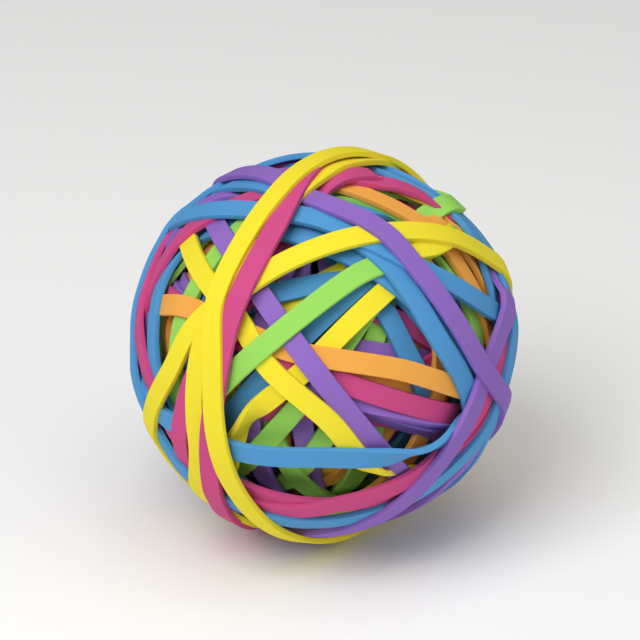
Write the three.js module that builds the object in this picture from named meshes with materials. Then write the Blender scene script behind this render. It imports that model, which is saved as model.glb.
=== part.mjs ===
// Rubber band ball: coloured loop bands stretched one over another round a ball of packed bands.
// Each band keeps to its own level, and where two bands cross they squeeze each other thinner.
// Millimetres, +Z up, origin at the middle of the ball, front towards -Y.
import * as THREE from 'three';

// Driving dimensions
const BALL_RADIUS = 29.0;        // outside of the last band
const CORE_RADIUS = 20.5;        // ball of packed inner bands that the first loose band lies on
const CORE_DETAIL = 5;           // subdivisions of the icosahedron for the core
const BAND_WIDTH = 3.1;          // width of a stretched band
const BAND_THICKNESS = 0.9;      // thickness of a stretched band where nothing crosses it
const LAYER_GAP = 0.035;         // clearance kept where two bands squeeze each other
const CROSSING_MARGIN = 0.25;    // how far beyond a crossing band's edge the squeeze reaches
const BAND_CORNERS = 48;         // corners in a band's outline
const RUBBER_ROUGHNESS = 0.55;

const COLOURS = {
  purple: '#7a58b8',
  blue: '#3a8cc8',
  green: '#92d24c',
  yellow: '#e8d820',
  orange: '#ee9b3c',
  pink: '#c83c78',
};
const CORE_COLOUR = '#5a3a58';

// The bands in the order in which they are wound, from the inside out: colour, azimuth and
// elevation of the axle that the loop turns about (degrees), and how far the loop's plane
// stands from the middle of the ball (mm).
const WINDING = [
  ['yellow', 60, 80, 2], ['green', 177, 8, 0], ['green', 162, 27, 0], ['purple', 49, 60, 0],
  ['pink', 47, 42, 0], ['green', -45, 17, 0], ['pink', -2, 74, 0], ['pink', 126, 76, 0],
  ['orange', 30, 62, 0], ['blue', 16, 14, 0], ['purple', 128, 0, -1], ['orange', -160, 19, 0],
  ['blue', 32, 16, 0], ['green', 146, 35, 1], ['yellow', 110, 40, 0], ['blue', 76, 30, -4],
  ['blue', 124, 35, 0], ['purple', -2, 60, 0], ['purple', 6, 64, 0.5], ['pink', 18, 61, -0.5],
  ['pink', -132, 29, 1], ['blue', -105, 28, 0], ['purple', -115, 26, 0], ['yellow', 123, 31, -3.5],
  ['blue', -70, 20, -5], ['blue', 38, 22, -1], ['orange', -130, 2, 0], ['orange', 36, 58, -0.5],
  ['yellow', 110, 19, -4], ['purple', -8, 34, -1], ['yellow', -14, 44, -1.5], ['green', 112, 35, -1],
  ['pink', -104, 2, 0], ['blue', 21, 19, 3], ['blue', 42, 42, 9.5], ['pink', -138, 56, 1],
  ['blue', -3, 90, -3.5], ['pink', 111, 12, 0], ['purple', -165, 38, -5], ['yellow', 90, 21, -4],
  ['purple', 21, 26, 8], ['yellow', 121, 5, 2.5], ['pink', 131, 6, 4], ['yellow', -62, 10, 3],
];

// Values worked out from the driving dimensions
const FIRST_LEVEL = CORE_RADIUS + LAYER_GAP + BAND_THICKNESS / 2;
const LAST_LEVEL = BALL_RADIUS - BAND_THICKNESS / 2;
const LEVEL_STEP = (LAST_LEVEL - FIRST_LEVEL) / (WINDING.length - 1);
const CORNER_TURN = (2 * Math.PI) / BAND_CORNERS;
// A flat facet reaches inside the sphere through its corners by this much at its middle.
const FACET_SAG = BALL_RADIUS * (1 - Math.cos(CORNER_TURN / 2)) + BAND_WIDTH ** 2 / (8 * CORE_RADIUS);

function rubber(colour) {
  return new THREE.MeshStandardMaterial({ color: colour, roughness: RUBBER_ROUGHNESS, metalness: 0 });
}

// A loop's own frame: Z along its axle, origin at the middle of the ball.
function loopFrame(azimuthDegrees, elevationDegrees) {
  const azimuth = THREE.MathUtils.degToRad(azimuthDegrees);
  const elevation = THREE.MathUtils.degToRad(elevationDegrees);
  const axle = new THREE.Vector3(
    Math.cos(elevation) * Math.cos(azimuth),
    Math.cos(elevation) * Math.sin(azimuth),
    Math.sin(elevation),
  );
  const across = new THREE.Vector3(-Math.sin(azimuth), Math.cos(azimuth), 0);
  const along = new THREE.Vector3().crossVectors(axle, across);
  return new THREE.Matrix4().makeBasis(across, along, axle);
}

// Every band starts as a plain hoop at its own level.
function plainHoops() {
  return WINDING.map(([colour, azimuth, elevation, offset], order) => {
    const frame = loopFrame(azimuth, elevation);
    const axle = new THREE.Vector3().setFromMatrixColumn(frame, 2);
    const level = FIRST_LEVEL + LEVEL_STEP * order;
    return {
      colour,
      frame,
      axle,
      offset,
      level,
      outer: new Array(BAND_CORNERS).fill(level + BAND_THICKNESS / 2),
      inner: new Array(BAND_CORNERS).fill(level - BAND_THICKNESS / 2),
    };
  });
}

// The two edge points of a hoop at one corner, in the ball's frame.
function edgePoints(hoop, corner) {
  return [-BAND_WIDTH / 2, BAND_WIDTH / 2].map((side) => {
    const height = hoop.offset + side;
    const radius = Math.sqrt(hoop.level ** 2 - height ** 2);
    const angle = corner * CORNER_TURN;
    return new THREE.Vector3(radius * Math.cos(angle), radius * Math.sin(angle), height).applyMatrix4(hoop.frame);
  });
}

// The corners at the ends of every stretch of a hoop that another hoop crosses.
function cornersCrossedBy(hoop, other) {
  const reach = BAND_WIDTH / 2 + CROSSING_MARGIN;
  const crossed = new Set();
  for (let corner = 0; corner < BAND_CORNERS; corner += 1) {
    const next = (corner + 1) % BAND_CORNERS;
    const points = [...edgePoints(hoop, corner), ...edgePoints(hoop, next)];
    const sideways = points.map((point) => point.dot(other.axle) - other.offset);
    if (Math.min(...sideways) < reach && Math.max(...sideways) > -reach) {
      crossed.add(corner).add(next);
    }
  }
  return crossed;
}

// Where two hoops cross at levels closer than a band's thickness, the lower one is pressed down
// and the upper one up, to meet half way.
function squeeze(lower, upper) {
  if (upper.level - lower.level > BAND_THICKNESS + LAYER_GAP) {
    return;
  }
  const meeting = (lower.level + upper.level) / 2;
  for (const corner of cornersCrossedBy(lower, upper)) {
    lower.outer[corner] = Math.min(lower.outer[corner], meeting - LAYER_GAP / 2);
  }
  for (const corner of cornersCrossedBy(upper, lower)) {
    upper.inner[corner] = Math.max(upper.inner[corner], meeting + LAYER_GAP / 2);
  }
}

function outline(radii) {
  return radii.map((radius, corner) => {
    const angle = corner * CORNER_TURN;
    return new THREE.Vector2(radius * Math.cos(angle), radius * Math.sin(angle));
  });
}

// A hoop as a closed solid: its outline extruded to the band's width, with both edges drawn in
// until they lie on the same sphere.
function bandMesh(hoop) {
  const shape = new THREE.Shape(outline(hoop.outer));
  shape.holes.push(new THREE.Path(outline(hoop.inner.map((radius) => radius + FACET_SAG))));
  const geometry = new THREE.ExtrudeGeometry(shape, { depth: BAND_WIDTH, steps: 1, bevelEnabled: false });
  geometry.translate(0, 0, hoop.offset - BAND_WIDTH / 2);
  const positions = geometry.attributes.position;
  for (let index = 0; index < positions.count; index += 1) {
    const radius = Math.hypot(positions.getX(index), positions.getY(index));
    const drawnIn = Math.sqrt(radius ** 2 - positions.getZ(index) ** 2) / radius;
    positions.setXY(index, positions.getX(index) * drawnIn, positions.getY(index) * drawnIn);
  }
  const band = new THREE.Mesh(geometry, rubber(COLOURS[hoop.colour]));
  band.applyMatrix4(hoop.frame);
  return band;
}

function packedCore() {
  const core = new THREE.Mesh(new THREE.IcosahedronGeometry(CORE_RADIUS, CORE_DETAIL), rubber(CORE_COLOUR));
  core.name = 'inner_bands';
  return core;
}

function buildBall() {
  const hoops = plainHoops();
  hoops.forEach((lower, order) => {
    hoops.slice(order + 1).forEach((upper) => squeeze(lower, upper));
  });
  const ball = new THREE.Group();
  ball.add(packedCore());
  const made = Object.fromEntries(Object.keys(COLOURS).map((colour) => [colour, 0]));
  for (const hoop of hoops) {
    const band = bandMesh(hoop);
    made[hoop.colour] += 1;
    band.name = `${hoop.colour}_band_${made[hoop.colour]}`;
    ball.add(band);
  }
  return ball;
}

export default buildBall();
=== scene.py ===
"""Rubber band ball: loop bands in six colours, stretched over a ball of packed bands.

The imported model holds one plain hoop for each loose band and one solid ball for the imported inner
bands. Here every hoop becomes a soft flat band with round edges: it stays on its loop, lifts over
the bands that it crosses, leans and bends as a stretched band does, and gets a rubber finish. The
inner ball becomes the layers of older bands that show through the gaps.
"""

import logging
import math
from dataclasses import dataclass, field
from enum import Enum

import bmesh
import bpy
import numpy as np
from mathutils import Matrix, Vector


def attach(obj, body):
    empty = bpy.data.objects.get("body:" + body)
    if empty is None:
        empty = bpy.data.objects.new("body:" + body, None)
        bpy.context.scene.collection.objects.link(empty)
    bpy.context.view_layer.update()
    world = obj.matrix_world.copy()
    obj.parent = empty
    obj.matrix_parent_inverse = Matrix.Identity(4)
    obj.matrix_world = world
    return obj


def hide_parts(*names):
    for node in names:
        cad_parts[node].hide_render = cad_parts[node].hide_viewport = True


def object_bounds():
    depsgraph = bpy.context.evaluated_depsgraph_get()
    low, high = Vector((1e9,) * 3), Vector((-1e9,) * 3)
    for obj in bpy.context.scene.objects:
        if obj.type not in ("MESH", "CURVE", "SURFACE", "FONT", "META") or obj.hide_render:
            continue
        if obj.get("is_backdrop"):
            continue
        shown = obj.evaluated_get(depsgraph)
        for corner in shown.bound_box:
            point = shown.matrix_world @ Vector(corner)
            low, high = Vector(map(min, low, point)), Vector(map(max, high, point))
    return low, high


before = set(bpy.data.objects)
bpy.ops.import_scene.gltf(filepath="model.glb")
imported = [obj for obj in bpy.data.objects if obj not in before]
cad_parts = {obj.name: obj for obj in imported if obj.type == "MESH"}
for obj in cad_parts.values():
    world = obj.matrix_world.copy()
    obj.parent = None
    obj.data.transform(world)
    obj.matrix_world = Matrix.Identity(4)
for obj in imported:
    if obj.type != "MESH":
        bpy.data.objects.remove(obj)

MM = 0.001                  # scene.py works in millimetres and writes metres
BODY = "root"               # the one body: nothing in the ball moves

LOOP_STEPS = 180            # cross-sections round a loose band
LOOP_ANGLES = np.arange(LOOP_STEPS) * 2 * math.pi / LOOP_STEPS
BAND_WIDTH = 3.1
BAND_THICKNESS = 0.9
EDGE_ROUNDING = 0.14        # radius of a band's long edges
FACE_FLATNESS = 1.75        # spreads the lines in a broad face out towards its edges
NO_SLOPE = 1e-3             # an axle that rises less than this counts as level

# How deep in tone the bands of each layer are, from 0, the deep shade, to 1, the full colour. Within a
# layer the tone differs at random; the lower ranges of the under and inner bands are painted shade for
# lying deeper in the ball.
LOOSE_TONES = (0.35, 0.75)
UNDER_TONES_WITH_PAINTED_SHADE = (0.3, 0.6)
INNER_TONES_WITH_PAINTED_SHADE = (0.1, 0.4)

log = logging.getLogger("band_ball")

Points = tuple[tuple[float, float], ...]
Tint = tuple[float, float, float]


class Colour(Enum):
    """The six rubber colours."""

    PURPLE = "purple"
    BLUE = "blue"
    GREEN = "green"
    YELLOW = "yellow"
    ORANGE = "orange"
    PINK = "pink"


# ---------------------------------------------------------------------------------- finishes


def set_inputs(node: bpy.types.Node, **values: object) -> None:
    """Sets a node's input sockets by name; an underscore in a keyword stands for a space."""
    for name, value in values.items():
        node.inputs[name.replace("_", " ")].default_value = value


def math_node(
    tree: bpy.types.NodeTree, operation: str, first: object, second: object = 0.0
) -> bpy.types.NodeSocket:
    """Adds a Math node.

    Args:
        tree: node tree that gets the node.
        operation: name of the Math operation.
        first: socket or number for the first value.
        second: socket or number for the second value.

    Returns:
        The result's socket.
    """
    node = tree.nodes.new("ShaderNodeMath")
    node.operation = operation
    for place, value in enumerate((first, second)):
        if isinstance(value, bpy.types.NodeSocket):
            tree.links.new(value, node.inputs[place])
        else:
            node.inputs[place].default_value = value
    return node.outputs[0]


def mix_colours(
    tree: bpy.types.NodeTree, share: object, first: object, second: object
) -> bpy.types.NodeSocket:
    """Adds a colour Mix node.

    Args:
        tree: node tree that gets the node.
        share: socket or number, the share of the second colour.
        first: socket of the first colour.
        second: socket of the second colour.

    Returns:
        The mixed colour's socket.
    """
    node = tree.nodes.new("ShaderNodeMix")
    node.data_type = "RGBA"
    factor = node.inputs[0]
    if isinstance(share, bpy.types.NodeSocket):
        tree.links.new(share, factor)
    else:
        factor.default_value = share
    tree.links.new(first, node.inputs[6])
    tree.links.new(second, node.inputs[7])
    return node.outputs[2]


@dataclass(frozen=True)
class StretchedRubber:
    """The surface that every band shares: bloom, stretch lines, a painted highlight along the long edges
    and shades of tone (the deeper layers' lower tones are painted shade).

    It is a node group, so each colour's material places the same effect with its own colours.
    """

    group_name: str = "stretched_rubber"
    broad_scale: float = 90.0       # slow changes of tone along a band
    broad_gain: float = 1.5
    broad_start: float = -0.25
    grain_scale: float = 2600.0
    line_scale: float = 7.0
    line_spread: float = 50.0       # how different one band's lines are from the next one's
    line_height: float = 0.6
    grain_height: float = 0.35
    bloom: float = 0.24             # share of the powdery pale shade on the faces
    painted_edge_highlight: float = 0.30     # share of the pale colour painted on the long edges as a highlight
    edge_sharpness: float = 10.0
    roughness: float = 0.40
    roughness_spread: float = 0.16

    def group(self) -> bpy.types.NodeTree:
        """Builds the group on first use.

        Returns:
            The node group, with inputs Deep, Base and Pale and outputs Color, Roughness and Height.
        """
        known = bpy.data.node_groups.get(self.group_name)
        if known:
            return known
        tree = bpy.data.node_groups.new(self.group_name, "ShaderNodeTree")
        for name in ("Deep", "Base", "Pale"):
            tree.interface.new_socket(name, in_out="INPUT", socket_type="NodeSocketColor")
        tree.interface.new_socket("Color", in_out="OUTPUT", socket_type="NodeSocketColor")
        tree.interface.new_socket("Roughness", in_out="OUTPUT", socket_type="NodeSocketFloat")
        tree.interface.new_socket("Height", in_out="OUTPUT", socket_type="NodeSocketFloat")
        entry = tree.nodes.new("NodeGroupInput")
        leave = tree.nodes.new("NodeGroupOutput")
        place = tree.nodes.new("ShaderNodeTexCoord").outputs["Object"]
        across = self._attribute(tree, "across")
        tone = self._attribute(tree, "tone")

        broad = self._noise(tree, place, self.broad_scale, 3.0)
        grain = self._noise(tree, place, self.grain_scale, 2.0)
        lines = self._stretch_lines(tree, across, tone, broad)

        # The band's tone and slow noise mix the deep and base colours; for the under and inner bands the
        # lower tone is painted shade.
        uneven = math_node(tree, "MULTIPLY_ADD", broad, self.broad_gain)
        uneven.node.inputs[2].default_value = self.broad_start
        toned = math_node(tree, "ADD", uneven, tone)
        shade = self._clamped(tree, toned)
        body = mix_colours(tree, shade, entry.outputs["Deep"], entry.outputs["Base"])
        speckle = math_node(tree, "MULTIPLY", grain, broad)
        powder = math_node(tree, "MULTIPLY", speckle, self.bloom)
        body = mix_colours(tree, powder, body, entry.outputs["Pale"])
        # Painted highlight: both long edges of every band are mixed towards the pale colour, standing in
        # for light catching the edges and glowing through the thin rubber.
        cut = math_node(tree, "POWER", math_node(tree, "ABSOLUTE", across), self.edge_sharpness)
        edge_highlight_mix = math_node(tree, "MULTIPLY", cut, self.painted_edge_highlight)
        body = mix_colours(tree, edge_highlight_mix, body, entry.outputs["Pale"])

        rough = math_node(tree, "MULTIPLY_ADD", grain, self.roughness_spread)
        rough.node.inputs[2].default_value = self.roughness
        height = math_node(tree, "MULTIPLY_ADD", lines, self.line_height)
        fine = math_node(tree, "MULTIPLY", grain, self.grain_height)
        tree.links.new(fine, height.node.inputs[2])

        tree.links.new(body, leave.inputs["Color"])
        tree.links.new(rough, leave.inputs["Roughness"])
        tree.links.new(height, leave.inputs["Height"])
        return tree

    def _attribute(self, tree: bpy.types.NodeTree, name: str) -> bpy.types.NodeSocket:
        """Reads one of a band's own attributes.

        Args:
            tree: node tree that gets the node.
            name: the attribute's name.

        Returns:
            The value's socket.
        """
        node = tree.nodes.new("ShaderNodeAttribute")
        node.attribute_name = name
        return node.outputs["Fac"]

    def _noise(
        self, tree: bpy.types.NodeTree, place: bpy.types.NodeSocket, scale: float, detail: float
    ) -> bpy.types.NodeSocket:
        """Adds a noise texture.

        Args:
            tree: node tree that gets the node.
            place: coordinates that the noise is read at.
            scale: how fine the noise is.
            detail: how many finer layers it has.

        Returns:
            The value's socket.
        """
        node = tree.nodes.new("ShaderNodeTexNoise")
        set_inputs(node, Scale=scale, Detail=detail)
        tree.links.new(place, node.inputs["Vector"])
        return node.outputs["Fac"]

    def _stretch_lines(
        self,
        tree: bpy.types.NodeTree,
        across: bpy.types.NodeSocket,
        tone: bpy.types.NodeSocket,
        broad: bpy.types.NodeSocket,
    ) -> bpy.types.NodeSocket:
        """Fine lines along a band: noise that changes fast across it and slowly along it.

        Args:
            tree: node tree that gets the nodes.
            across: place across the band, from -1 to 1.
            tone: the band's own number, which gives each band its own lines.
            broad: slow noise, which lets the lines wander.

        Returns:
            The lines' socket.
        """
        joined = tree.nodes.new("ShaderNodeCombineXYZ")
        tree.links.new(across, joined.inputs[0])
        tree.links.new(broad, joined.inputs[1])
        own = math_node(tree, "MULTIPLY", tone, self.line_spread)
        tree.links.new(own, joined.inputs[2])
        return self._noise(tree, joined.outputs[0], self.line_scale, 3.0)

    def _clamped(
        self, tree: bpy.types.NodeTree, value: bpy.types.NodeSocket
    ) -> bpy.types.NodeSocket:
        """Holds a value between 0 and 1.

        Args:
            tree: node tree that gets the node.
            value: the value's socket.

        Returns:
            The held value's socket.
        """
        node = tree.nodes.new("ShaderNodeClamp")
        tree.links.new(value, node.inputs[0])
        return node.outputs[0]


@dataclass(frozen=True)
class RubberFinish:
    """One colour of satin natural rubber."""

    name: str
    deep: Tint
    base: Tint
    pale: Tint
    index_of_refraction: float = 1.5
    glow: float = 0.12          # share of light that scatters under the surface
    glow_depth: float = 0.0012  # metres
    sheen: float = 0.12
    sheen_roughness: float = 0.4
    relief: float = 0.00001     # height of the stretch lines, in metres
    surface: StretchedRubber = StretchedRubber()

    def material(self) -> bpy.types.Material:
        """Builds the material on first use.

        Returns:
            The colour's material.
        """
        known = bpy.data.materials.get(self.name)
        if known:
            return known
        made = bpy.data.materials.new(self.name)
        made.use_nodes = True
        tree = made.node_tree
        shader = tree.nodes["Principled BSDF"]
        rubber = tree.nodes.new("ShaderNodeGroup")
        rubber.node_tree = self.surface.group()
        for socket, tint in (("Deep", self.deep), ("Base", self.base), ("Pale", self.pale)):
            rubber.inputs[socket].default_value = (*tint, 1.0)
        bump = tree.nodes.new("ShaderNodeBump")
        set_inputs(bump, Strength=1.0, Distance=self.relief)
        tree.links.new(rubber.outputs["Height"], bump.inputs["Height"])
        tree.links.new(bump.outputs["Normal"], shader.inputs["Normal"])
        tree.links.new(rubber.outputs["Color"], shader.inputs["Base Color"])
        tree.links.new(rubber.outputs["Roughness"], shader.inputs["Roughness"])
        set_inputs(
            shader,
            Metallic=0.0,
            IOR=self.index_of_refraction,
            Subsurface_Weight=self.glow,
            Subsurface_Scale=self.glow_depth,
            Sheen_Weight=self.sheen,
            Sheen_Roughness=self.sheen_roughness,
        )
        return made


FINISHES = {
    Colour.PURPLE: RubberFinish(
        "purple_rubber", deep=(0.085, 0.045, 0.270), base=(0.220, 0.140, 0.530), pale=(0.390, 0.310, 0.680)
    ),
    Colour.BLUE: RubberFinish(
        "blue_rubber", deep=(0.006, 0.058, 0.165), base=(0.017, 0.152, 0.310), pale=(0.105, 0.290, 0.470)
    ),
    Colour.GREEN: RubberFinish(
        "green_rubber", deep=(0.080, 0.140, 0.004), base=(0.220, 0.285, 0.014), pale=(0.370, 0.430, 0.085)
    ),
    Colour.YELLOW: RubberFinish(
        "yellow_rubber", deep=(0.310, 0.230, 0.001), base=(0.510, 0.415, 0.004), pale=(0.660, 0.590, 0.085)
    ),
    Colour.ORANGE: RubberFinish(
        "orange_rubber", deep=(0.500, 0.070, 0.002), base=(0.780, 0.155, 0.005), pale=(0.820, 0.320, 0.055)
    ),
    Colour.PINK: RubberFinish(
        "pink_rubber", deep=(0.145, 0.003, 0.024), base=(0.340, 0.019, 0.070), pale=(0.510, 0.120, 0.175)
    ),
}


# ---------------------------------------------------------------------------------- loops


def around(points: Points, fade: float = 25.0, soften: float = 5.0) -> np.ndarray:
    """Smooth values round a loop through a few chosen ones, and nothing where none are given.

    Args:
        points: pairs of angle in degrees, rising, and value there.
        fade: degrees over which the first and last value die away.
        soften: spread in degrees of the smoothing.

    Returns:
        One value for each step of a loop.
    """
    steps = np.arange(LOOP_STEPS) * 360.0 / LOOP_STEPS
    if not points:
        return np.zeros(LOOP_STEPS)
    angles = [points[0][0] - fade, *(angle for angle, _ in points), points[-1][0] + fade]
    values = [0.0, *(value for _, value in points), 0.0]
    placed = angles[0] + (steps - angles[0]) % 360.0
    line = np.interp(placed, angles, values, right=0.0)
    apart = np.minimum(steps, 360.0 - steps)
    bell = np.exp(-0.5 * (apart / soften) ** 2)
    return np.real(np.fft.ifft(np.fft.fft(line) * np.fft.fft(bell / bell.sum())))


@dataclass(frozen=True)
class Lay:
    """How one band leaves its plain hoop. Angles run round the loop from its across direction."""

    sideways: Points = ()       # mm along the axle
    lift: Points = ()           # mm away from the middle of the ball
    roll: Points = ()           # degrees that the band turns about its own length


@dataclass(frozen=True)
class Loop:
    """Where a loop lies."""

    axle: np.ndarray            # the direction that the loop turns about
    across: np.ndarray          # square to the axle; angles round the loop start here
    along: np.ndarray           # square to both, a quarter turn on
    offset: float               # mm from the middle of the ball to the loop's plane

    @classmethod
    def about(cls, axle: np.ndarray, offset: float) -> "Loop":
        """Places a loop; its across direction is level, and +Y where the axle is upright.

        Args:
            axle: unit direction of the axle.
            offset: mm from the middle of the ball to the loop's plane.

        Returns:
            The loop.
        """
        flat = np.hypot(axle[0], axle[1])
        across = np.array([0.0, 1.0, 0.0])
        if flat > 0.01:
            across = np.array([-axle[1], axle[0], 0.0]) / flat
        return cls(axle, across, np.cross(axle, across), offset)

    @classmethod
    def turned(cls, azimuth: float, elevation: float, offset: float) -> "Loop":
        """Places a loop by the direction of its axle.

        Args:
            azimuth: degrees from +X towards +Y.
            elevation: degrees above level.
            offset: mm from the middle of the ball to the loop's plane.

        Returns:
            The loop.
        """
        turn, rise = math.radians(azimuth), math.radians(elevation)
        flat = math.cos(rise)
        axle = np.array([flat * math.cos(turn), flat * math.sin(turn), math.sin(rise)])
        return cls.about(axle, offset)

    @classmethod
    def of_node(cls, points: np.ndarray) -> "Loop":
        """Reads a loop off a plain hoop, whose two edges are flat and square to its axle.

        Args:
            points: the hoop's vertices, in mm.

        Returns:
            The hoop's loop.
        """
        rough = np.linalg.svd(points - points.mean(0), full_matrices=False)[2][2]
        height = points @ rough
        upper = points[height > (height.max() + height.min()) / 2]
        axle = np.linalg.svd(upper - upper.mean(0), full_matrices=False)[2][2]
        points_down = axle[2] < -NO_SLOPE or (abs(axle[2]) <= NO_SLOPE and axle[1] < 0)
        axle = -axle if points_down else axle
        height = points @ axle
        return cls.about(axle, float(height.max() + height.min()) / 2)


@dataclass
class Band:
    """One flat loop band."""

    name: str
    colour: Colour
    loop: Loop
    level: float                # distance of the band's middle line from the middle of the ball, mm
    tone: float                 # from 0, the deep shade, to 1, the full colour; random within a layer, and lower in the deeper layers as painted shade
    lay: Lay = Lay()
    stands_for: str = ""        # the plain hoop that this band replaces
    edges: np.ndarray = field(init=False)       # level of the two long edges at each step

    def __post_init__(self) -> None:
        """Starts both edges at the band's own level and lift."""
        self.edges = np.tile(self.level + around(self.lay.lift), (2, 1))

    @property
    def slot(self) -> str:
        """The record's material slot for this colour."""
        return f"{self.colour.value}_rubber"

    def middle_line(self) -> tuple[np.ndarray, np.ndarray, np.ndarray]:
        """The band's frame at each step, on its own level.

        Returns:
            Outward directions, directions across the band, and sideways places in mm.
        """
        aside = self.loop.offset + around(self.lay.sideways)
        spoke = np.outer(np.cos(LOOP_ANGLES), self.loop.across)
        spoke = spoke + np.outer(np.sin(LOOP_ANGLES), self.loop.along)
        reach = np.sqrt(self.level**2 - aside**2)
        middle = spoke * reach[:, None] + np.outer(aside, self.loop.axle)
        outward = middle / self.level
        ahead = np.roll(middle, -1, 0) - np.roll(middle, 1, 0)
        side = np.cross(outward, ahead)
        side /= np.linalg.norm(side, axis=1)[:, None]
        return outward, side, aside

    def edge_directions(self) -> np.ndarray:
        """Finds both long edges.

        Returns:
            Directions from the middle of the ball, shaped 2 by steps by 3.
        """
        outward, side, _ = self.middle_line()
        half = BAND_WIDTH / 2
        both = np.stack([outward * self.level - side * half, outward * self.level + side * half])
        return both / np.linalg.norm(both, axis=2)[:, :, None]

    def cover(self, directions: np.ndarray) -> tuple[np.ndarray, np.ndarray, np.ndarray]:
        """Finds which directions pass through this band, and where.

        Args:
            directions: unit directions from the middle of the ball.

        Returns:
            The numbers of the directions that meet the band, the four edge steps round each
            meeting, and the share of each of those.
        """
        half = BAND_WIDTH / 2
        _, _, aside = self.middle_line()
        turn = np.arctan2(directions @ self.loop.along, directions @ self.loop.across)
        step = (turn / (2 * math.pi)) % 1.0 * LOOP_STEPS
        before = np.floor(step).astype(int) % LOOP_STEPS
        after = (before + 1) % LOOP_STEPS
        part = step - np.floor(step)
        middle = aside[before] * (1 - part) + aside[after] * part
        place = directions @ self.loop.axle * self.level - middle
        met = np.flatnonzero(np.abs(place) < half)
        before, after, part = before[met], after[met], part[met]
        share = (place[met] + half) / BAND_WIDTH
        steps = np.stack([before, after, before + LOOP_STEPS, after + LOOP_STEPS], 1)
        shares = np.stack(
            [(1 - share) * (1 - part), (1 - share) * part, share * (1 - part), share * part], 1
        )
        return met, steps, shares

    def build(self, steps_between: int = 1) -> bmesh.types.BMesh:
        """Spins the band's section round its loop and lays it on the ball.

        Args:
            steps_between: keeps one cross-section in this many.

        Returns:
            The band's closed mesh, in metres.
        """
        hoop = self._plain_hoop(LOOP_STEPS // steps_between)
        outward, side, _ = self.middle_line()
        level = self.edges.mean(0)
        lean = np.arctan2(self.edges[1] - self.edges[0], BAND_WIDTH)
        lean = lean + np.radians(around(self.lay.roll))
        across = hoop.verts.layers.float.new("across")
        tone = hoop.verts.layers.float.new("tone")
        for vert in hoop.verts:
            turned = math.atan2(vert.co.y, vert.co.x) / (2 * math.pi)
            step = round(turned * LOOP_STEPS) % LOOP_STEPS
            wide = vert.co.z
            thick = math.hypot(vert.co.x, vert.co.y) - self.level
            vert[across] = wide / (BAND_WIDTH / 2)
            vert[tone] = self.tone
            cos, sin = math.cos(lean[step]), math.sin(lean[step])
            place = outward[step] * (level[step] + wide * sin + thick * cos)
            place = place + side[step] * (wide * cos - thick * sin)
            vert.co = Vector(place * MM)
        bmesh.ops.recalc_face_normals(hoop, faces=hoop.faces)
        return hoop

    def _plain_hoop(self, steps: int) -> bmesh.types.BMesh:
        """Spins a rounded rectangle round the Z axis.

        Args:
            steps: number of cross-sections.

        Returns:
            The hoop's mesh, in mm.
        """
        hoop = bmesh.new()
        bmesh.ops.create_grid(hoop, x_segments=1, y_segments=1, size=0.5)
        bmesh.ops.scale(hoop, vec=(BAND_WIDTH, BAND_THICKNESS, 1.0), verts=hoop.verts)
        bmesh.ops.bevel(
            hoop,
            geom=hoop.verts[:],
            offset=EDGE_ROUNDING,
            offset_type="OFFSET",
            affect="VERTICES",
            segments=3,
            profile=0.5,
            material=-1,
        )
        long_edges = [edge for edge in hoop.edges if edge.calc_length() > BAND_WIDTH / 2]
        bmesh.ops.delete(hoop, geom=hoop.faces[:], context="FACES_ONLY")
        cut = bmesh.ops.subdivide_edges(hoop, edges=long_edges, cuts=3)
        inner = [part for part in cut["geom_inner"] if isinstance(part, bmesh.types.BMVert)]
        bmesh.ops.scale(hoop, vec=(FACE_FLATNESS, 1.0, 1.0), verts=inner)
        upright = Matrix(((0, 1, 0, 0), (0, 0, 1, 0), (1, 0, 0, 0), (0, 0, 0, 1)))
        bmesh.ops.transform(hoop, matrix=upright, verts=hoop.verts)
        bmesh.ops.translate(hoop, vec=(self.level, 0.0, 0.0), verts=hoop.verts)
        bmesh.ops.spin(
            hoop,
            geom=hoop.verts[:] + hoop.edges[:],
            cent=(0.0, 0.0, 0.0),
            axis=(0.0, 0.0, 1.0),
            angle=2 * math.pi,
            steps=steps,
            use_merge=True,
        )
        return hoop


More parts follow.
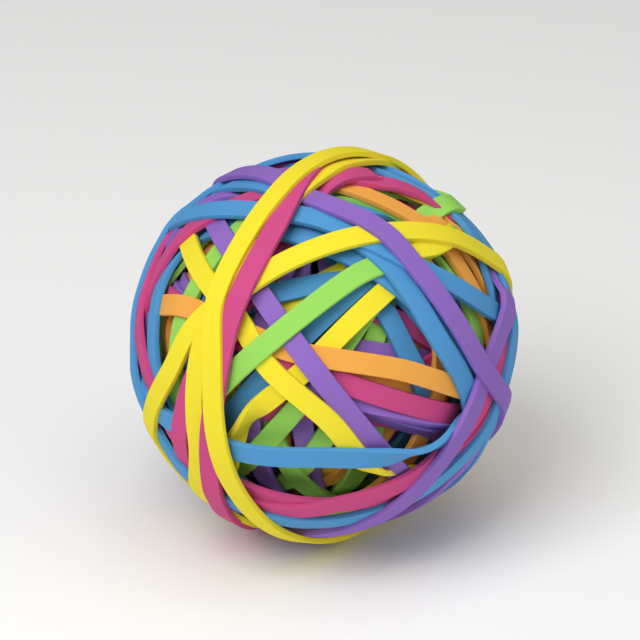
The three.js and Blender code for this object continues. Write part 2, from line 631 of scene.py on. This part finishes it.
@dataclass
class Winding:
    """Settles how high every band lies where it crosses others.

    A band is pushed away from the one that it crosses until both have room, keeps its course by
    its own tension, and is drawn back to its own level everywhere else.
    """

    bands: list[Band]
    rounds: int = 70
    room: float = 0.80          # share of a band's thickness that a crossing keeps
    near: float = 5.0           # mm; bands with levels further apart than this never touch
    tension: float = 0.22       # how fast a bend straightens
    return_rate: float = 0.02   # how fast a band comes back to its own level
    stiffness: float = 0.05     # how fast the two edges come back to the same level

    def settle(self) -> None:
        """Works out the level of both edges of every band."""
        size = 2 * LOOP_STEPS
        start = np.concatenate([band.edges.ravel() for band in self.bands])
        point, steps, shares = self._meetings(size)
        above = np.sign(start[point] - (start[steps] * shares).sum(1))
        level = start.copy()
        for _ in range(self.rounds):
            level += self._push(level, point, steps, shares, above)
            level = self._relax(level, start)
        for number, band in enumerate(self.bands):
            band.edges = level[number * size : (number + 1) * size].reshape(2, LOOP_STEPS)
        log.info("settled %d bands at %d meetings", len(self.bands), len(point))

    def _meetings(self, size: int) -> tuple[np.ndarray, np.ndarray, np.ndarray]:
        """Finds every edge point that lies over or under another band.

        Args:
            size: number of edge points in a band.

        Returns:
            The edge points' numbers, the four steps of the other band round each, and their shares.
        """
        found = []
        directions = [band.edge_directions().reshape(-1, 3) for band in self.bands]
        for number, band in enumerate(self.bands):
            for other_number, other in enumerate(self.bands):
                if number == other_number or abs(band.level - other.level) > self.near:
                    continue
                met, steps, shares = other.cover(directions[number])
                found.append((met + number * size, steps + other_number * size, shares))
        return tuple(np.concatenate(parts) for parts in zip(*found))

    def _push(
        self,
        level: np.ndarray,
        point: np.ndarray,
        steps: np.ndarray,
        shares: np.ndarray,
        above: np.ndarray,
    ) -> np.ndarray:
        """Works out how far bands that are too close push each other apart.

        Args:
            level: level of every edge point.
            point: edge points that meet another band.
            steps: the other band's four steps at each meeting.
            shares: the share of each of those.
            above: 1 where the point's band is the upper one and -1 where it is the lower.

        Returns:
            The change of every level.
        """
        gap = above * (level[point] - (level[steps] * shares).sum(1))
        short = np.clip(BAND_THICKNESS * self.room - gap, 0.0, None) * above / 2
        pressed = short != 0
        change = np.zeros_like(level)
        weight = np.full_like(level, 1e-6)
        np.add.at(change, point, short)
        np.add.at(weight, point, pressed.astype(float))
        np.add.at(change, steps, -short[:, None] * shares)
        np.add.at(weight, steps, pressed[:, None] * shares)
        return change / np.maximum(weight, 1.0)

    def _relax(self, level: np.ndarray, start: np.ndarray) -> np.ndarray:
        """Pulls every band smooth, flat across and back to its own level.

        Args:
            level: level of every edge point.
            start: each point's own level.

        Returns:
            The new levels.
        """
        edges = level.reshape(-1, 2, LOOP_STEPS)
        bent = np.roll(edges, 1, 2) + np.roll(edges, -1, 2) - 2 * edges
        edges = edges + self.tension * bent
        edges += self.stiffness * (edges.mean(1, keepdims=True) - edges)
        level = edges.ravel()
        return level + self.return_rate * (start - level)


def link_piece(
    name: str, mesh: bmesh.types.BMesh, materials: list[bpy.types.Material]
) -> bpy.types.Object:
    """Makes a finished mesh a smooth object in the scene, riding on the ball's body.

    Args:
        name: the piece's name.
        mesh: the finished mesh, in metres; it is used up.
        materials: the piece's material slots.

    Returns:
        The new object.
    """
    for face in mesh.faces:
        face.smooth = True
    data = bpy.data.meshes.new(name)
    mesh.to_mesh(data)
    mesh.free()
    for material in materials:
        data.materials.append(material)
    piece = bpy.data.objects.new(name, data)
    bpy.context.scene.collection.objects.link(piece)
    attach(piece, BODY)
    return piece


# ---------------------------------------------------------------------------------- the ball

# How single bands leave their plain hoops, by the hoop's name. A span that passes the loop's
# starting direction goes on beyond 360 degrees.
LAYS = {
    "purple_band_8": Lay(
        sideways=(
            (99, -1.1), (111, 0.2), (123, 1.0), (143, 0.0),
            (156, -0.6), (176, -1.4), (188, -0.2), (210, 1.8),
        ),
    ),
    "yellow_band_8": Lay(sideways=((109, 0.6), (139, -0.5), (144, -0.9), (161, 0.7), (176, 0.6))),
    "pink_band_9": Lay(sideways=((30, 0.5), (61, -0.6), (93, 1.0))),
    "yellow_band_7": Lay(sideways=((310, -2.5), (316, 2.0), (348, -1.1), (381, 0.9))),
    "yellow_band_6": Lay(sideways=((329, -2.5), (335, 2.0), (377, -1.0), (390, 0.8))),
    "pink_band_7": Lay(sideways=((279, -0.6), (287, -0.7), (292, 0.7), (324, -0.6))),
    "purple_band_7": Lay(
        sideways=(
            (350, 0.3), (372, 0.3), (384, -0.6), (392, -1.9), (402, -4.0), (414, -3.6), (438, 0.0),
        ),
        lift=((410, 0.0), (425, -2.0), (440, -4.5), (500, -4.5)),
    ),
    "pink_band_8": Lay(
        sideways=((80, 4.2), (92, 4.4), (104, 3.4), (118, 1.2), (132, -0.9)),
        lift=((40, -4.0), (72, -4.0), (90, 0.0), (107, 0.0), (119, -3.5), (165, -3.5)),
    ),
    "blue_band_10": Lay(
        sideways=((132, -0.5), (157, 0.5), (182, -1.0), (193, -1.0), (199, -0.4)),
        lift=((203, 0.0), (212, -1.6), (240, -1.6)),
        roll=((178, 0.0), (184, 62.0), (192, 66.0), (197, 0.0)),
    ),
    "blue_band_9": Lay(sideways=((32, -0.5), (98, 0.9), (128, -1.2), (164, -0.7), (187, 0.9))),
    "blue_band_8": Lay(sideways=((131, 0.6), (156, -0.7), (175, 0.4))),
    "pink_band_6": Lay(sideways=((140, -3.0), (160, -3.0), (182, -2.2))),
    "green_band_5": Lay(sideways=((40, -0.3), (77, 0.5), (84, -0.7))),
    "yellow_band_5": Lay(
        sideways=((131, 1.1), (145, -0.5), (172, 0.9), (192, -1.2)),
        lift=((203, 0.0), (212, -2.5), (235, -2.5)),
        roll=((190, 0.0), (197, 70.0), (203, 70.0), (208, 0.0)),
    ),
    "orange_band_4": Lay(sideways=((32, -1.0), (68, 0.8), (107, -1.6), (143, 0.4))),
    "yellow_band_4": Lay(
        sideways=((84, -2.5), (96, -5.2), (106, -4.8), (116, -3.4), (128, -1.0), (140, 0.0)),
        lift=(
            (325, -3.5), (432, -3.5), (449, 0.5), (458, 1.5), (479, 1.5), (491, -2.5), (520, -2.5),
        ),
    ),
    "yellow_band_3": Lay(
        sideways=((334, -1.0), (364, 1.0), (391, -1.4), (436, -1.4)),
        roll=((351, 0.0), (358, 85.0), (366, 85.0), (373, 0.0)),
    ),
    "blue_band_6": Lay(
        sideways=((137, -4.0), (150, -3.3), (167, -3.2)),
        lift=((120, 1.0), (180, 1.0)),
    ),
    "purple_band_4": Lay(roll=((160, 0.0), (172, -50.0), (200, -55.0), (212, 0.0))),
    "purple_band_3": Lay(roll=((160, 0.0), (172, 50.0), (200, 55.0), (212, 0.0))),
    "green_band_4": Lay(
        sideways=((92, 0.0), (102, -1.4), (110, -4.2), (118, -4.4), (130, 0.0)),
        lift=((93, 0.0), (102, 4.4), (112, 6.0), (122, 5.6), (132, 2.0)),
    ),
}

# Bands under the loose ones that fill the ball out towards its sides: colour, azimuth and
# elevation of the axle (degrees), offset and level (mm), and how it leaves its plain hoop.
UNDER_BANDS = (
    (Colour.BLUE, -119, 41, 4.8, 27.5, Lay()),
    (Colour.PINK, -112, 48, 5.5, 26.9, Lay()),
    (Colour.PURPLE, -130, 12, 3.5, 26.8, Lay(lift=((15, -3.0), (105, -3.0)))),
    (Colour.GREEN, -88, 10, 4.0, 25.4, Lay()),
    (Colour.YELLOW, -128, 48, -3.0, 26.0, Lay()),
    (Colour.BLUE, -138, 17, -5.0, 26.8, Lay()),
    (Colour.PINK, -112, 6, -5.0, 25.8, Lay()),
    (Colour.ORANGE, -107, 18, 5.0, 26.6, Lay(lift=((98, 0.0), (112, -3.5), (260, -3.5)))),
    (Colour.ORANGE, -107, 7, 5.2, 26.4, Lay(lift=((50, 0.0), (66, -3.5), (300, -3.5)))),
    (Colour.PURPLE, -90, 22, -6.0, 26.4, Lay()),
    (Colour.GREEN, -122, 20, 8.0, 24.6, Lay()),
    (Colour.YELLOW, -108, 34, -9.0, 25.2, Lay()),
    (Colour.BLUE, -100, 14, 9.0, 24.2, Lay()),
)


@dataclass
class BandBall:
    """The whole ball: loose bands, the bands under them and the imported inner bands."""

    inner_count: int = 64
    inner_levels: tuple[float, float] = (17.6, 21.0)
    inner_offset: float = 3.0       # mm that an inner loop's plane may stand from the middle
    inner_steps_between: int = 3    # an inner band has one cross-section where a loose one has three
    golden_share: float = 0.618     # spreads the inner bands' elevations evenly
    seed: int = 11

    def build(self) -> None:
        """Builds every band, settles them on one another and adds them to the scene."""
        draw = np.random.default_rng(self.seed)
        inner = self._inner_bands(draw)
        under = self._under_bands(draw)
        loose = self._loose_bands(draw)
        Winding(inner + under + loose).settle()
        self._dress_inner(inner)
        for band in under + loose:
            self._dress(band)

    def _loose_bands(self, draw: np.random.Generator) -> list[Band]:
        """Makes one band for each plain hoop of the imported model.

        Args:
            draw: source of the bands' tones.

        Returns:
            The bands, in the order of the hoops' names.
        """
        bands = []
        for name, node in sorted(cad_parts.items()):
            colour = name.split("_")[0]
            if colour not in {known.value for known in Colour}:
                continue
            points = np.array([vert.co for vert in node.data.vertices]) / MM
            level = float(np.linalg.norm(points, axis=1).max()) - BAND_THICKNESS / 2
            bands.append(
                Band(
                    name=f"{name}_rubber",
                    colour=Colour(colour),
                    loop=Loop.of_node(points),
                    level=level,
                    lay=LAYS.get(name, Lay()),
                    tone=draw.uniform(*LOOSE_TONES),
                    stands_for=name,
                )
            )
        return bands

    def _under_bands(self, draw: np.random.Generator) -> list[Band]:
        """Makes the bands that fill out the sides of the ball.

        Args:
            draw: source of the bands' tones.

        Returns:
            The bands.
        """
        bands = []
        for number, row in enumerate(UNDER_BANDS, 1):
            colour, azimuth, elevation, offset, level, lay = row
            bands.append(
                Band(
                    name=f"under_band_{number}",
                    colour=colour,
                    loop=Loop.turned(azimuth, elevation, offset),
                    level=level,
                    lay=lay,
                    tone=draw.uniform(*UNDER_TONES_WITH_PAINTED_SHADE),
                )
            )
        return bands

    def _inner_bands(self, draw: np.random.Generator) -> list[Band]:
        """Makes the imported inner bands, wound evenly in all directions.

        Args:
            draw: source of the bands' colours, offsets and tones.

        Returns:
            The bands, from the inside out.
        """
        colours = list(Colour)
        lowest, highest = self.inner_levels
        golden = math.pi * (3 - math.sqrt(5))
        bands = []
        for number in range(self.inner_count):
            azimuth = math.degrees(number * golden)
            elevation = math.degrees(math.asin((number * self.golden_share) % 1.0))
            level = lowest + (highest - lowest) * number / (self.inner_count - 1)
            bands.append(
                Band(
                    name=f"inner_{number}",
                    colour=colours[int(draw.integers(len(colours)))],
                    loop=Loop.turned(
                        azimuth, elevation, draw.uniform(-self.inner_offset, self.inner_offset)
                    ),
                    level=level,
                    tone=draw.uniform(*INNER_TONES_WITH_PAINTED_SHADE),
                )
            )
        return bands

    def _dress(self, band: Band) -> None:
        """Adds one band to the scene with its finish.

        Args:
            band: the settled band.
        """
        piece = link_piece(band.name, band.build(), [FINISHES[band.colour].material()])
        if band.stands_for:
            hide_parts(band.stands_for)
        lowest, highest = band.edges.min(), band.edges.max()
        log.info("%s: own level %.2f mm, edges at %.2f to %.2f", band.name, band.level, lowest, highest)

    def _dress_inner(self, bands: list[Band]) -> None:
        """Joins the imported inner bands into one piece, with a material slot for each colour.

        Args:
            bands: the settled inner bands.
        """
        colours = list(Colour)
        packed = bmesh.new()
        scratch = bpy.data.meshes.new("packed_scratch")
        for band in bands:
            hoop = band.build(self.inner_steps_between)
            for face in hoop.faces:
                face.material_index = colours.index(band.colour)
            hoop.to_mesh(scratch)
            hoop.free()
            packed.from_mesh(scratch)
        bpy.data.meshes.remove(scratch)
        materials = [FINISHES[colour].material() for colour in colours]
        piece = link_piece("packed_inner_bands", packed, materials)
        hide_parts("inner_bands")
        log.info("packed_inner_bands: %d bands", len(bands))


# ---------------------------------------------------------------------------------- the studio


def seen_from(azimuth: float, elevation: float) -> Vector:
    """The direction from the ball to something that looks at it.

    Args:
        azimuth: degrees from the front, -Y, towards the right, +X.
        elevation: degrees above level.

    Returns:
        The unit direction.
    """
    turn, rise = math.radians(azimuth), math.radians(elevation)
    flat = math.cos(rise)
    return Vector((math.sin(turn) * flat, -math.cos(turn) * flat, math.sin(rise)))


@dataclass(frozen=True)
class Softbox:
    """One square area light that points at the ball."""

    name: str
    azimuth: float              # degrees
    elevation: float            # degrees
    distance: float             # metres
    size: float                 # metres
    power: float                # watts

    def add(self, aim: Vector) -> None:
        """Adds the light, turned to the point that it lights.

        Args:
            aim: the point that it lights, in metres.
        """
        back = seen_from(self.azimuth, self.elevation)
        data = bpy.data.lights.new(self.name, "AREA")
        data.size = self.size
        data.energy = self.power
        light = bpy.data.objects.new(self.name, data)
        light.location = aim + back * self.distance
        light.rotation_euler = back.to_track_quat("Z", "Y").to_euler()
        bpy.context.scene.collection.objects.link(light)


@dataclass(frozen=True)
class Studio:
    """A pale floor, soft light from all sides and the camera."""

    azimuth: float = -23.3      # of the camera, degrees
    elevation: float = 28.5
    distance: float = 0.557     # metres
    lens: float = 214.0
    shift: tuple[float, float] = (-0.0048, 0.0397)
    nearest: float = 0.01       # metres
    floor_size: float = 3.0
    floor_tint: Tint = (0.97, 0.97, 0.96)
    floor_roughness: float = 0.9
    sky: float = 0.25
    softboxes: tuple[Softbox, ...] = (
        Softbox("key", -60.0, 50.0, 0.60, 0.40, 2.5),
        Softbox("fill", 35.0, 25.0, 0.70, 0.60, 0.80),
        Softbox("top", 20.0, 80.0, 0.65, 0.50, 1.1),
    )

    def build(self) -> None:
        """Adds the camera, the floor, the lights and the sky."""
        lowest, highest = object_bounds()
        self._camera()
        self._floor(lowest.z)
        for softbox in self.softboxes:
            softbox.add((lowest + highest) / 2)
        self._sky()

    def _camera(self) -> None:
        """Adds the camera, which looks at the middle of the ball."""
        back = seen_from(self.azimuth, self.elevation)
        data = bpy.data.cameras.new("camera")
        data.lens = self.lens
        data.shift_x, data.shift_y = self.shift
        data.clip_start = self.nearest
        camera = bpy.data.objects.new("camera", data)
        camera.location = back * self.distance
        camera.rotation_euler = back.to_track_quat("Z", "Y").to_euler()
        bpy.context.scene.collection.objects.link(camera)
        bpy.context.scene.camera = camera

    def _floor(self, height: float) -> None:
        """Adds the floor.

        Args:
            height: height of the floor, in metres.
        """
        mesh = bmesh.new()
        bmesh.ops.create_grid(mesh, x_segments=1, y_segments=1, size=self.floor_size / 2)
        bmesh.ops.translate(mesh, vec=(0.0, 0.0, height), verts=mesh.verts)
        data = bpy.data.meshes.new("floor")
        mesh.to_mesh(data)
        mesh.free()
        paper = bpy.data.materials.new("floor_paper")
        paper.use_nodes = True
        shader = paper.node_tree.nodes["Principled BSDF"]
        set_inputs(shader, Base_Color=(*self.floor_tint, 1.0), Roughness=self.floor_roughness)
        data.materials.append(paper)
        floor = bpy.data.objects.new("floor", data)
        bpy.context.scene.collection.objects.link(floor)
        floor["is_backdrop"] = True

    def _sky(self) -> None:
        """Sets an even pale sky, and shows colours as they are."""
        world = bpy.data.worlds.new("sky")
        world.use_nodes = True
        background = world.node_tree.nodes["Background"]
        set_inputs(background, Color=(1.0, 1.0, 1.0, 1.0), Strength=self.sky)
        bpy.context.scene.world = world
        bpy.context.scene.view_settings.view_transform = "Standard"


def main() -> None:
    """Builds the ball and its studio."""
    logging.basicConfig(level=logging.INFO, format="%(message)s")
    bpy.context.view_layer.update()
    BandBall().build()
    Studio().build()


if __name__ == "__main__":
    main()
